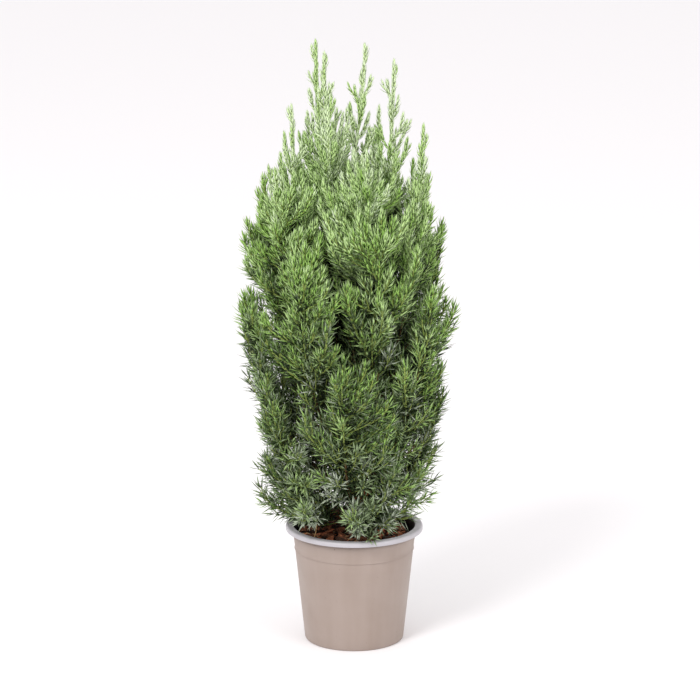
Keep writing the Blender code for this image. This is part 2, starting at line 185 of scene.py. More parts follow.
# Sprays and their side twigs, finer than in the solids
CURVE_STEPS = 240
SPRAY_SHORTEST = 0.007
SPRAY_TAPER = 0.80
SPRAY_SPACING = 0.0068
SPRAY_LAST = 0.007
SPRAY_FROM = 0.35
SPRAY_MARGIN = 0.002
SPRAY_WANDERS = 0.35
SPRAY_ANGLES = (radians(24), radians(52))
SPRAY_OPENS_OVER = 0.12
SPRAY_LIFT = 0.46
SPRAY_SHRINKS = 0.60
SPRAY_RISES = (0.15, 0.95)
TWIG_RISES = 0.35
TWIG_LONGEST = 0.022
TWIG_SHORTEST = 0.0075
TWIG_GROWTH = 0.40
TWIG_SPACING = (0.0130, 0.0160)
TWIG_FROM = 0.016
TWIG_FROM_VARIES = (0.5, 0.8)
TWIG_FROM_SHARE = 0.28
TWIG_LAST = 0.006
TWIG_VARIATION = (0.75, 1.15)
TWIG_ANGLE = radians(42)
TWIG_POINTS = 5
STEM_POINTS = 28
STEM_RADIUS = 0.0015
STEM_TIP_RADIUS = 0.0006
SPRAY_RADIUS = 0.0008
TWIG_RADIUS = 0.0006
TWIG_TIP_RADIUS = 0.0004
YOUNG_WITHIN = 0.17

# A spire's own habit: near its tip a single slim shoot with few short side shoots
SPIRE_LAST = 0.013
SPIRE_SPACING = 0.0115
SPIRE_WITHIN = 0.120
SPIRE_SHORTEST = 0.014
SPIRE_BARE = 0.030
SPIRE_GROWTH = 0.40

# Offshoots: side stems of a plume that end on the crown's surface on both sides of its tip. For
# each group, how far they turn from the tip in radians and how far below it they end.
OFFSHOOT_STARTS = (0.36, 0.54)
OFFSHOOTS = {
    "low": ((0.34, 0.52), (0.025, 0.065)),
    "side": ((0.34, 0.52), (0.035, 0.085)),
    "top": ((0.50, 0.95), (0.045, 0.090)),
}
SURFACE_BELOW_Z = 0.42
OFFSHOOT_LOWEST_Z = 0.150
OFFSHOOT_REACH = (0.94, 1.06)
OFFSHOOT_RISE = 0.045
OFFSHOOT_BARE = 0.30
OFFSHOOT_LONGEST = 0.034
OFFSHOOT_RADIUS = 0.0011
OFFSHOOT_KNEE = 0.30
OFFSHOOT_NECK = 0.42
TOP_REACH = (1.1, 0.012)
STEP_BACK = 0.85

# Further offshoots fill the crown's surface, and its top, where no shoot comes near enough. For
# each shell, how many places are tried, from what height to what height, their share of the
# crown's reach and the share at which an offshoot to them ends.
FILL_SHELLS = (
    (900, (0.150, 0.455), 0.80, (0.88, 1.04)),
    (260, (0.350, 0.475), 0.50, (0.48, 0.60)),
    (70, (0.380, 0.490), 0.18, (0.14, 0.24)),
)
FILL_WITHIN = 0.0113
FILL_STARTS = (0.30, 0.80)
FILL_LOW_Z = 0.150
FILL_SLOPES = (0.30, 0.90)
FILL_LEANS = (1.20, 0.25)
FILL_UPRIGHT_OVER = 0.12
FILL_CHOICES = 40

# Leafy shoots on the trunk itself, which close the crown's inside
INNER_HEIGHTS = (0.122, 0.400)
INNER_SPACING = 0.0052
INNER_LENGTHS = (0.050, 0.032)
INNER_VARIATION = (0.7, 1.1)
INNER_ANGLE = radians(58)
DRY_BELOW_Z = 0.17

# Needles, in whorls of three: long and spreading low down, short and close above
WHORL = 3
WHORL_TURN = radians(62)
WHORL_SPACING = (0.0042, 0.0028)
NEEDLE_LENGTHS = (0.0134, 0.0082)
NEEDLE_ANGLES = (radians(60), radians(17))
NEEDLE_WIDTHS = (0.00158, 0.00175)
NEEDLE_HEIGHTS = (0.15, 0.50)
NEEDLES_CLOSE = 1.6
NEEDLES_SHORTEN = 4.5
NEEDLE_THICK = 0.00045
NEEDLE_FOOT_WIDTH = 0.6
NEEDLE_MIDDLE = 0.48
NEEDLE_CURL = 0.05
NEEDLE_ROOTED = 0.7
NEEDLE_VARIATION = (0.78, 1.15)
WHORL_WANDERS = 0.3
TIP_REACH = (0.0090, 0.0060)
TIP_SHORTENS = (0.82, 0.76)
TIP_CLOSES = (0.48, 0.34)

# Old needles stand this far back from a shoot's tip. They are darker, by age and by painted shade,
# and shaded in most tints.
OLD_AND_SHADED_FROM = (0.016, 0.026)
OLD_AND_SHADED_TINTS = {"pale": "mid", "fresh": "deep", "dry": "dry"}

# How far out of the crown's middle a spray has to end to be in the light
IN_LIGHT = 0.62
TIP_IN_LIGHT = 0.055
ALL_IN_LIGHT_Z = 0.42
LEAST_REACH = 0.02
TINT_BLUR = 0.03

# How far shoots and needles keep clear of the mix and of the pot's rim
CLEAR_OF_MIX = 0.0015
CLEAR_OF_RIM = 0.0012
RIM_BREADTH = 0.0095

# Camera and stage
CAMERA_DISTANCE = 2.9
CAMERA_X = 0.177
CAMERA_Z = 0.99
AIM = Vector((-0.004, 0, 0.281))
FRAME_HEIGHT = 0.655
SENSOR = 36
FLOOR_SIZE = 40
FLOOR_COLOUR = (0.92, 0.905, 0.915, 1)
WORLD_COLOUR = (1.0, 0.985, 0.99, 1)
LIGHT_AIM = (0, 0, 0.3)

# Lights: name, place, size and power
LIGHTS = (
    ("key", (-1.3, -2.4, 2.6), 1.2, 60),
    ("fill", (2.2, -1.8, 1.5), 1.6, 18),
)


def linear(colour):
    """A colour in 0 to 255 as Blender's linear colour."""
    shares = [value / 255 for value in colour]
    return (*[x / 12.92 if x <= 0.04045 else ((x + 0.055) / 1.055) ** 2.4 for x in shares], 1)


def mix(a, b, share):
    return a + (b - a) * share


def smooth(share):
    """A share, or an array of them, eased in and out between 0 and 1."""
    share = np.clip(share, 0, 1)
    return share * share * (3 - 2 * share)


def unit(vectors):
    return vectors / norm(vectors, axis=-1, keepdims=True)


def polar(radius, turn):
    return radius * cos(turn), radius * sin(turn)


def turns_of(count):
    """The angles of evenly dealt places round a circle."""
    return [tau * i / count for i in range(count)]


def cross_frame(ways):
    """For each direction, two directions square to it and to each other."""
    hint = np.where(np.abs(ways[..., :1]) < 0.8, (1.0, 0.0, 0.0), (0.0, 1.0, 0.0))
    across = unit(np.cross(ways, hint))
    return across, np.cross(ways, across)


def travel_along(points):
    """How far along a line each of its points lies."""
    steps = norm(np.diff(points, axis=0), axis=1)
    return np.concatenate(((0,), np.cumsum(steps)))


def read_along(places, travel, values):
    """The values at some places along a line, between those at its points."""
    return np.stack([np.interp(places, travel, column) for column in values.T], -1)


# Materials

# A mix node's two colour inputs and its colour output, by number
BLEND_LOW = 6
BLEND_HIGH = 7
BLEND_RESULT = 2


class Paint:
    """A Principled material with short ways to add the nodes it needs. Colours are in 0 to 255."""

    def __init__(self, name, colour, roughness, specular):
        self.material = bpy.data.materials.new(name)
        self.material.use_nodes = True
        self.tree = self.material.node_tree
        self.shader = self.tree.nodes["Principled BSDF"].inputs
        self.base(colour)
        self.rough(roughness)
        self.feed(self.shader["Specular IOR Level"], specular)

    def feed(self, target, source):
        """Gives an input a value or another node's output."""
        if isinstance(source, bpy.types.NodeSocket):
            self.tree.links.new(source, target)
        else:
            target.default_value = linear(source) if target.type == "RGBA" else source

    def base(self, source):
        self.feed(self.shader["Base Color"], source)

    def rough(self, source):
        self.feed(self.shader["Roughness"], source)

    def node(self, kind, inputs, **settings):
        """A new node, with its inputs by name or number."""
        made = self.tree.nodes.new(kind)
        for name, value in settings.items():
            setattr(made, name, value)
        for name, source in inputs.items():
            self.feed(made.inputs[name], source)
        return made

    def place(self, scale=(1, 1, 1)):
        """Object coordinates, stretched along each axis."""
        place = self.node("ShaderNodeTexCoord", {}).outputs["Object"]
        return self.node("ShaderNodeMapping", {"Vector": place, "Scale": scale}).outputs["Vector"]

    def height(self):
        """How high a point lies above the floor, in metres."""
        return self.node("ShaderNodeSeparateXYZ", {"Vector": self.place()}).outputs["Z"]

    def noise(self, scale, detail=4, roughness=0.55, stretch=(1, 1, 1)):
        place = self.place(stretch)
        inputs = {"Vector": place, "Scale": scale, "Detail": detail, "Roughness": roughness}
        return self.node("ShaderNodeTexNoise", inputs).outputs["Fac"]

    def ramp(self, value, *stops):
        """A colour ramp: each stop is (place, colour)."""
        made = self.node("ShaderNodeValToRGB", {"Fac": value})
        elements = made.color_ramp.elements
        while len(elements) < len(stops):
            elements.new(0.5)
        for element, (place, colour) in zip(elements, stops):
            element.position = place
            element.color = linear(colour)
        return made.outputs["Color"]

    def blend(self, value, low, high, how="MIX"):
        """One colour over another, by a value. Each is a colour or a socket."""
        inputs = {"Factor": value, BLEND_LOW: low, BLEND_HIGH: high}
        made = self.node("ShaderNodeMix", inputs, data_type="RGBA", blend_type=how)
        return made.outputs[BLEND_RESULT]

    def span(self, value, *limits):
        """A value between two limits, moved to between two others."""
        names = ("From Min", "From Max", "To Min", "To Max")
        inputs = {"Value": value, **dict(zip(names, limits))}
        return self.node("ShaderNodeMapRange", inputs).outputs["Result"]

    def bump(self, value, distance, strength):
        inputs = {"Height": value, "Distance": distance, "Strength": strength}
        self.feed(self.shader["Normal"], self.node("ShaderNodeBump", inputs).outputs["Normal"])


def pot_paint():
    """Satin taupe plastic with a fine grain, faint cloudy wear, a few dark specks and a painted
    shadow under the rim.
    """
    paint = Paint("pot taupe plastic", (158, 143, 134), 0.46, 0.42)
    clouds = paint.noise(26, detail=3)
    worn = paint.blend(clouds, (164, 149, 141), (146, 130, 120))
    streaks = paint.noise(60, detail=2, stretch=(1, 1, 0.06))
    drawn = paint.ramp(streaks, (0.42, (158, 143, 134)), (0.75, (142, 126, 115)))
    tinted = paint.blend(0.35, worn, drawn)
    # Painted shadow: by height, the body darkens in a band just under the rim's overhang
    painted_shadow_under_rim = paint.ramp(
        paint.span(paint.height(), POT_HEIGHT - 0.0100, POT_HEIGHT, 0, 1),
        (0.26, (255, 255, 255)),
        (0.35, (164, 152, 142)),
        (0.43, (112, 98, 88)),
    )
    shaded = paint.blend(1.0, tinted, painted_shadow_under_rim, how="MULTIPLY")
    grains = paint.noise(520, detail=2, roughness=0.7)
    specks = paint.ramp(grains, (0.735, (0, 0, 0)), (0.765, (255, 255, 255)))
    paint.base(paint.blend(specks, shaded, (96, 82, 74)))
    paint.rough(paint.span(clouds, 0.35, 0.7, 0.40, 0.54))
    paint.bump(paint.noise(900, detail=2), 0.00012, 0.5)
    return paint.material


def rim_paint():
    """The rolled rim, cooler and paler than the body, rubbed smooth."""
    paint = Paint("pot rim plastic", (184, 181, 185), 0.38, 0.5)
    clouds = paint.noise(48, detail=3)
    paint.base(paint.blend(clouds, (190, 187, 192), (168, 164, 168)))
    paint.rough(paint.span(clouds, 0.35, 0.7, 0.33, 0.46))
    paint.bump(paint.noise(700, detail=2), 0.00008, 0.4)
    return paint.material


def inside_paint():
    """The pot's dark inside, dusty with peat."""
    paint = Paint("pot dark inside", (38, 38, 36), 0.55, 0.35)
    dust = paint.noise(140, detail=5, roughness=0.7)
    paint.base(paint.ramp(dust, (0.45, (34, 35, 34)), (0.72, (66, 54, 46))))
    paint.bump(dust, 0.0002, 0.5)
    return paint.material


def soil_paint():
    paint = Paint("dark potting mix", (46, 31, 25), 0.92, 0.2)
    coarse = paint.noise(230, detail=6, roughness=0.7)
    fine = paint.noise(900, detail=3, roughness=0.7)
    dark = paint.ramp(coarse, (0.30, (22, 16, 14)), (0.52, (48, 32, 26)), (0.70, (84, 54, 40)))
    paint.base(paint.blend(fine, dark, (60, 42, 33), how="SOFT_LIGHT"))
    paint.bump(coarse, 0.0012, 0.8)
    return paint.material


def chip_paint(name, low, high):
    """A bark chip: reddish brown with grain along its length."""
    paint = Paint(name, low, 0.85, 0.25)
    grain = paint.noise(420, detail=4, roughness=0.65, stretch=(1, 0.35, 1))
    paint.base(paint.ramp(grain, (0.32, low), (0.66, high)))
    paint.bump(grain, 0.0004, 0.7)
    return paint.material


def straw_paint():
    paint = Paint("dry straw", (204, 168, 118), 0.6, 0.35)
    grain = paint.noise(500, detail=3)
    paint.base(paint.ramp(grain, (0.35, (176, 136, 90)), (0.65, (216, 184, 136))))
    return paint.material


def bark_paint():
    """Young reddish-brown bark that peels in thin upright strips."""
    paint = Paint("young bark", (100, 70, 52), 0.85, 0.25)
    strips = paint.noise(700, detail=5, roughness=0.65, stretch=(1, 1, 0.12))
    patches = paint.noise(130, detail=3)
    red = paint.ramp(strips, (0.30, (52, 34, 26)), (0.50, (100, 68, 50)), (0.72, (148, 112, 86)))
    paint.base(paint.blend(paint.span(patches, 0.4, 0.65, 0, 0.45), red, (98, 86, 70)))
    paint.bump(strips, 0.0005, 0.9)
    return paint.material


# Needle tints: the green back of a needle and its paler upper side
TINTS = {
    # The pale tint of the top is lighter partly as painted light, for light shining through the
    # thin needles
    "pale": ((208, 227, 178), (218, 233, 200)),
    "fresh": ((182, 211, 138), (192, 216, 158)),
    "mid": ((144, 182, 90), (176, 204, 134)),
    "deep": ((84, 111, 52), (156, 176, 132)),
    "blue": ((88, 110, 66), (180, 191, 168)),
    "shade": ((38, 54, 26), (62, 80, 46)),
    "dry": ((140, 86, 44), (170, 112, 66)),
}

# How the tints are dealt to the sprays, by height, and to those inside the crown
# Tints grow paler with height: partly the young top growth's own colour, partly painted light for
# light shining through the top needles
TINTS_BY_HEIGHT = (
    (0.15, {"deep": 0.52, "blue": 0.38, "mid": 0.10}),
    (0.24, {"deep": 0.46, "blue": 0.34, "mid": 0.20}),
    (0.32, {"deep": 0.46, "blue": 0.08, "mid": 0.46}),
    (0.37, {"deep": 0.16, "mid": 0.76, "fresh": 0.08}),
    (0.42, {"mid": 0.56, "fresh": 0.44}),
    (0.47, {"mid": 0.08, "fresh": 0.72, "pale": 0.20}),
    (0.58, {"fresh": 0.26, "pale": 0.74}),
)
TINTS_INSIDE = {"shade": 0.68, "deep": 0.32}
TINTS_AT_FOOT = {"shade": 0.56, "deep": 0.20, "dry": 0.24}


def needle_paints():
    """Two materials for each tint, in the order that the needles' faces number them."""
    made = []
    for name, (back, upper) in TINTS.items():
        made.append(Paint(f"needle {name} back", back, 0.48, 0.4).material)
        made.append(Paint(f"needle {name} upper", upper, 0.62, 0.25).material)
    return made


# Objects and meshes


def put(data):
    """A new object in the scene, named as its data is."""
    obj = bpy.data.objects.new(data.name, data)
    bpy.context.scene.collection.objects.link(obj)
    return obj


def mesh_from(bm, name):
    """A bmesh as a mesh. The bmesh is freed."""
    mesh = bpy.data.meshes.new(name)
    bm.to_mesh(mesh)
    bm.free()
    return mesh


def turned_mesh(name, rings, slots):
    """A closed smooth mesh round the z axis through rings of points, with a slot for each band.

    A ring of one point is a pole. A last ring of more points is closed by one face.
    """
    bm = bmesh.new()
    rings = [[bm.verts.new(point) for point in ring] for ring in rings]
    for low, high, slot in zip(rings, rings[1:], slots):
        for j in range(max(len(low), len(high))):
            places = ((low, j), (low, j + 1), (high, j + 1), (high, j))
            corners = [ring[place % len(ring)] for ring, place in places]
            bm.faces.new(list(dict.fromkeys(corners))).material_index = slot
    if len(rings[-1]) > 1:
        bm.faces.new(rings[-1])
    bmesh.ops.recalc_face_normals(bm, faces=bm.faces)
    for face in bm.faces:
        face.smooth = True
    return mesh_from(bm, name)


def mesh_of(name, verts, faces, slots=None):
    """A mesh from an array of points and one of triangles, with each face's material slot."""
    mesh = bpy.data.meshes.new(name)
    count = len(faces)
    mesh.vertices.add(len(verts))
    mesh.vertices.foreach_set("co", np.ascontiguousarray(verts, np.float32).ravel())
    mesh.loops.add(3 * count)
    mesh.loops.foreach_set("vertex_index", np.ascontiguousarray(faces, np.int32).ravel())
    mesh.polygons.add(count)
    mesh.polygons.foreach_set("loop_start", np.arange(0, 3 * count, 3, dtype=np.int32))
    mesh.polygons.foreach_set("loop_total", np.full(count, 3, np.int32))
    if slots is not None:
        mesh.polygons.foreach_set("material_index", np.ascontiguousarray(slots, np.int32))
    mesh.update(calc_edges=True)
    mesh.validate()
    return mesh


def add_piece(mesh, materials, replaced=()):
    """A piece of the plant, which rides with the pot as one body."""
    obj = put(mesh)
    for material in materials:
        mesh.materials.append(material)
    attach(obj, "root")
    if replaced:
        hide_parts(*replaced)
    return obj


def tubes(points, radii, sides):
    """Closed tubes along many lists of points at once, as arrays of points and triangles.

    There is a radius for each point, or one for each side at each point.
    """
    count, rings = points.shape[:2]
    across, beside = cross_frame(unit(np.gradient(points, axis=1)))
    turns = np.arange(sides) * tau / sides
    around = across[:, :, None] * np.cos(turns)[:, None]
    around = around + beside[:, :, None] * np.sin(turns)[:, None]
    verts = points[:, :, None] + radii.reshape(count, rings, -1, 1) * around
    ring = np.arange(rings - 1)[:, None] * sides
    side = np.arange(sides)[None, :]
    after = (side + 1) % sides
    low, low_after = ring + side, ring + after
    high, high_after = low + sides, low_after + sides
    walls = np.stack((low, low_after, high_after, low, high_after, high), -1).reshape(-1, 3)
    fan = np.arange(1, sides - 1)
    start = np.stack((np.zeros_like(fan), fan + 1, fan), -1)
    last = (rings - 1) * sides
    end = np.stack((np.full_like(fan, last), last + fan, last + fan + 1), -1)
    one = np.concatenate((walls, start, end))
    faces = one[None] + (np.arange(count) * rings * sides)[:, None, None]
    return verts.reshape(-1, 3), faces.reshape(-1, 3)


# The plant's own rule: trunk, plumes, sprays and side twigs


def trunk_share(z):
    foot = MIX_Z + GAP
    return (z - foot) / (TRUNK_TOP_Z - foot)


def trunk_point(z):
    share = trunk_share(z)
    bow = TRUNK_BOW * sin(pi * share)
    return np.array((TRUNK_LEAN[0] * share + bow, TRUNK_LEAN[1] * share, z))


def trunk_radius(z):
    taper = mix(*TRUNK_RADII, trunk_share(z) ** TRUNK_TAPER)
    rise = min((z - MIX_Z - GAP) / FLARE_HEIGHT, 1)
    return taper + (FLARE_RADIUS - TRUNK_RADII[0]) * (1 - rise) ** 2


def crown_reach(z):
    if z > CROWN_WIDEST_Z:
        return CROWN_REACH * (1 - ((z - CROWN_WIDEST_Z) / CROWN_RISE) ** 2)
    share = (CROWN_WIDEST_Z - z) / (CROWN_WIDEST_Z - CROWN_FOOT_Z)
    return CROWN_REACH * mix(1, CROWN_FOOT_SHARE, smooth(share))


class Plume:
    """A bough and the mass that it carries, as points along one curve from the trunk to the tip."""

    def __init__(self, group, label, curve, bare):
        self.group = group
        self.label = label
        self.phase = Random(label).uniform(0, tau) if bare else 0
        t = np.linspace(0, 1, CURVE_STEPS + 1)[:, None]
        p0, p1, p2, p3 = curve
        s = 1 - t
        self.points = s**3 * p0 + 3 * s * s * t * p1 + 3 * s * t * t * p2 + t**3 * p3
        self.travel = travel_along(self.points)
        self.length = self.travel[-1]
        self.bough_end = bare * self.length
        self.offshoots = []
        self.tangents = unit(np.gradient(self.points, axis=0))

    def at(self, distance):
        return read_along(distance, self.travel, self.points)

    def along(self, distance):
        return unit(read_along(distance, self.travel, self.tangents))


def plume_of(group, number, share, tip):
    """The plume that stands this share on from its group's first to its last."""
    rule = GROUPS[group]
    fork_z = mix(*rule["forks"], share)
    fork = trunk_point(fork_z)
    tip = np.array(tip)
    flat = (tip - fork) * (1, 1, 0)
    reach = norm(flat)
    outward = flat / reach
    rise = tip[2] - fork_z
    spread = mix(*rule["spread"], share) * reach
    lean = mix(*rule["lean"], share)
    knee = fork + outward * spread + UP * KNEE_RISE * rise
    neck = tip - NECK_SHARE * rise * (UP + lean * outward)
    return Plume(group, f"{group}_{number}", (fork, knee, neck, tip), BOUGH_SHARE)


def plan_plumes():
    plumes = []
    for group, rule in GROUPS.items():
        for number in range(1, rule["count"] + 1):
            share = (number - 1) / (rule["count"] - 1)
            if group == "top":
                tip = SPIRES[number - 1]
            else:
                turn = radians(rule["turn"]) + (number - 1) * GOLDEN_ANGLE
                tip_z = mix(*rule["tips"], share)
                x, y = polar(crown_reach(tip_z), turn)
                tip = (CROWN_SHIFT + x, y, tip_z)
            plumes.append(plume_of(group, number, share, tip))
    start = trunk_point(TRUNK_TOP_Z)
    tip = np.array(LEADER_TIP)
    third = UP * (tip[2] - start[2]) / 3
    plumes.append(Plume("top", "leader", (start, start + third, tip - third, tip), 0))
    return plumes


def shoot(root, way, turn, length, angle):
    """The points of a side shoot: it leaves at an angle and bends towards its parent's way."""
    across, beside = cross_frame(way)
    side = across * cos(turn) + beside * sin(turn)
    share = np.linspace(0, 1, TWIG_POINTS)[:, None]
    bend = angle * (1 - SPRAY_LIFT * share)
    return root + length * share * (side * np.sin(bend) + way * np.cos(bend))


class Growth:
    """What one mass grows: its shoots' points, and their radii, tints and ages, and its stems."""

    def __init__(self):
        self.shoots = []
        self.habits = []
        self.stems = []

    def add(self, points, radius, tint, young):
        self.shoots.append(points)
        self.habits.append((np.linspace(radius, TWIG_TIP_RADIUS, len(points)), tint, young))


def deal(seeded, shares):
    return seeded.choices(list(shares), weights=list(shares.values()))[0]


def deal_inside(seeded, z):
    return deal(seeded, TINTS_AT_FOOT if z < DRY_BELOW_Z else TINTS_INSIDE)


def deal_tint(seeded, point, left):
    """The tint of a spray by where it ends, and by how far it stands below its plume's tip."""
    across = hypot(point[0] - CROWN_SHIFT * 0.5, point[1])
    outward = across / max(crown_reach(point[2]), LEAST_REACH)
    limit = IN_LIGHT * seeded.uniform(*VARIES)
    if left > TIP_IN_LIGHT and point[2] < ALL_IN_LIGHT_Z and outward < limit:
        return deal_inside(seeded, point[2])
    z = point[2] + seeded.uniform(-TINT_BLUR, TINT_BLUR)
    for top, shares in TINTS_BY_HEIGHT:
        if z <= top:
            break
    return deal(seeded, shares)


def blocked(points):
    """Which points lie in the potting mix, in the pot's wall or too near its rim."""
    radius = np.hypot(points[:, 0], points[:, 1])
    z = points[:, 2]
    in_mix = (z < MIX_Z + CLEAR_OF_MIX) & (radius < RIM_RADIUS)
    near_rim = (radius > RIM_RADIUS - RIM_BREADTH) & (radius < RIM_RADIUS + CLEAR_OF_RIM)
    return in_mix | (near_rim & (z < POT_HEIGHT + CLEAR_OF_RIM))


def needle_habit(z):
    """From 0 where shoots bear long spreading needles to 1 where they are short and close."""
    low, high = NEEDLE_HEIGHTS
    return smooth((z - low) / (high - low))


def upright_habit(z):
    """From 0 at the crown's foot, where shoots spread, to 1 where they stand upright."""
    return smooth((z - FILL_LOW_Z) / FILL_UPRIGHT_OVER)


def branch_to(plume, start_at, end, lean):
    """A side stem that leaves a plume at some distance along it and rises to an end point."""
    start = plume.at(start_at)
    span = norm(end - start)
    knee = start + OFFSHOOT_KNEE * span * unit(plume.along(start_at) + unit(end - start))
    neck = end - OFFSHOOT_NECK * span * unit(UP + lean * (end - start) / span)
    label = f"{plume.label}_{len(plume.offshoots) + 1}"
    plume.offshoots.append(Plume(plume.group, label, (start, knee, neck, end), OFFSHOOT_BARE))
    return plume.offshoots[-1]


def add_offshoots(plume):
    """Side stems of a plume that rise to the crown's surface below and beside its tip."""
    if not plume.bough_end:
        return
    seeded = Random(f"{plume.label} offshoots")
    tip = plume.points[-1]
    turn = atan2(tip[1], tip[0] - CROWN_SHIFT)
    turns, drops = OFFSHOOTS[plume.group]
    for side in (-1, 1):
        z = max(tip[2] - seeded.uniform(*drops), OFFSHOOT_LOWEST_Z)
        reach = crown_reach(z) * seeded.uniform(*OFFSHOOT_REACH)
        if z > SURFACE_BELOW_Z:
            reach = min(reach, hypot(tip[0], tip[1]) * TOP_REACH[0] + TOP_REACH[1])
        away = seeded.uniform(*sorted(side * away for away in turns))
        x, y = polar(reach, turn + away)
        end = np.array((CROWN_SHIFT + x, y, z))
        start_at = seeded.uniform(*OFFSHOOT_STARTS) * plume.length
        while end[2] - plume.at(start_at)[2] < OFFSHOOT_RISE and start_at > plume.bough_end:
            start_at *= STEP_BACK
        branch_to(plume, start_at, end, FILL_LEANS[1])


def nearest_start(plumes, end, slope):
    """The plume nearest to an end point from which a side stem can rise to it, and where."""
    best = (np.inf, None, 0)
    for plume in plumes:
        distances = np.linspace(*FILL_STARTS, FILL_CHOICES) * plume.length
        offsets = end - plume.at(distances)
        flat = np.hypot(offsets[:, 0], offsets[:, 1])
        spans = np.where(offsets[:, 2] > slope * flat, norm(offsets, axis=1), np.inf)
        i = int(spans.argmin())
        if spans[i] < best[0]:
            best = (spans[i], plume, distances[i])
    return best[1:]


def fill_crown(plumes, growths):
    """Offshoots to the places on the crown's shells that no shoot comes near."""
    seeded = Random("fill")
    leafy = np.concatenate([np.concatenate(growth.shoots) for growth in growths])
    for places, heights, share, reach in FILL_SHELLS:
        for i in range(places):
            z = mix(*heights, (i + 0.5) / places)
            way = np.array((*polar(crown_reach(z), i * GOLDEN_ANGLE), 0))
            middle = np.array((CROWN_SHIFT, 0, z))
            if norm(leafy - middle - share * way, axis=1).min() < FILL_WITHIN:
                continue
            end = middle + seeded.uniform(*reach) * way
            upright = upright_habit(z)
            plume, start_at = nearest_start(plumes, end, mix(*FILL_SLOPES, upright))
            if plume is None:
                continue
            offshoot = branch_to(plume, start_at, end, mix(*FILL_LEANS, upright))
            growth = growths[plumes.index(plume)]
            before = len(growth.shoots)
            grow_stem(growth, offshoot, seeded)
            leafy = np.concatenate((leafy, *growth.shoots[before:]))


def spray_habit(group, left, longest):
    """How long a spray grows this far below its stem's tip, and how far on the next one stands."""
    if group == "top":
        grown = SPIRE_SHORTEST + SPIRE_GROWTH * max(left - SPIRE_BARE, 0)
        spacing = mix(SPIRE_SPACING, SPRAY_SPACING, smooth(left / SPIRE_WITHIN))
    else:
        grown = SPRAY_SHORTEST + SPRAY_TAPER * GROUPS[group]["growth"] * left
        spacing = SPRAY_SPACING
    return min(grown, longest), spacing


def grow_mass(plume):
    """A plume and its offshoots, each with its sprays and their side twigs."""
    seeded = Random(f"{plume.label} growth")
    growth = Growth()
    grow_stem(growth, plume, seeded, plume.bough_end, SPRAY_LENGTH, STEM_RADIUS)
    add_offshoots(plume)
    for offshoot in plume.offshoots:
        grow_stem(growth, offshoot, seeded)
    return growth


def grow_stem(growth, stem, seeded, start=0, longest=OFFSHOOT_LONGEST, radius=OFFSHOOT_RADIUS):
    """Sprays dealt round a stem by the golden angle. Left as given, the rest suits an offshoot."""
    points = stem.at(np.linspace(start, stem.length, STEM_POINTS))
    growth.stems.append((points, radius, deal_tint(seeded, points[-1], 0)))
    distance = stem.bough_end * SPRAY_FROM + SPRAY_MARGIN
    last = SPIRE_LAST if stem.group == "top" else SPRAY_LAST
    number = 0
    while distance < stem.length - last:
        left = stem.length - distance
        length, spacing = spray_habit(stem.group, left, longest)
        length *= seeded.uniform(*SPRAY_VARIATION)
        if number % 3:
            length *= seeded.uniform(SPRAY_SHRINKS, 1)
        turn = stem.phase + number * GOLDEN_ANGLE + seeded.uniform(-SPRAY_WANDERS, SPRAY_WANDERS)
        angle = mix(*SPRAY_ANGLES, smooth(left / SPRAY_OPENS_OVER)) * seeded.uniform(*VARIES)
        root = stem.at(distance)
        rises = mix(*SPRAY_RISES, upright_habit(root[2]))
        way = unit(stem.along(distance) + rises * UP)
        spray = shoot(root, way, turn, length, angle)
        tint = deal_tint(seeded, spray[-1], left)
        grow_spray(growth, spray, length, tint, left < YOUNG_WITHIN, seeded)
        distance += spacing * seeded.uniform(*VARIES_MORE)
        number += 1


def grow_spray(growth, spray, length, tint, young, seeded):
    """A spray where nothing is in its way, with side twigs that get shorter towards its tip."""
    if blocked(spray[2:]).any():
        return
    growth.add(spray, SPRAY_RADIUS, tint, young)
    way = unit(unit(spray[-1] - spray[0]) + TWIG_RISES * UP)
    spacing = mix(*TWIG_SPACING, needle_habit(spray[-1][2]))
    distance = max(TWIG_FROM_SHARE * length, TWIG_FROM * seeded.uniform(*TWIG_FROM_VARIES))
    turn = seeded.uniform(0, tau)
    while distance < length - TWIG_LAST:
        left = length - distance
        grown = min(TWIG_SHORTEST + TWIG_GROWTH * left, TWIG_LONGEST)
        twig_length = grown * seeded.uniform(*TWIG_VARIATION)
        place = distance / length * (TWIG_POINTS - 1)
        low = int(place)
        root = mix(spray[low], spray[low + 1], place - low)
        angle = TWIG_ANGLE * seeded.uniform(*VARIES_MORE)
        twig = shoot(root, way, turn, twig_length, angle)
        if not blocked(twig[2:]).any():
            growth.add(twig, TWIG_RADIUS, tint, True)
        distance += spacing * seeded.uniform(*VARIES_MOST)
        turn += GOLDEN_ANGLE


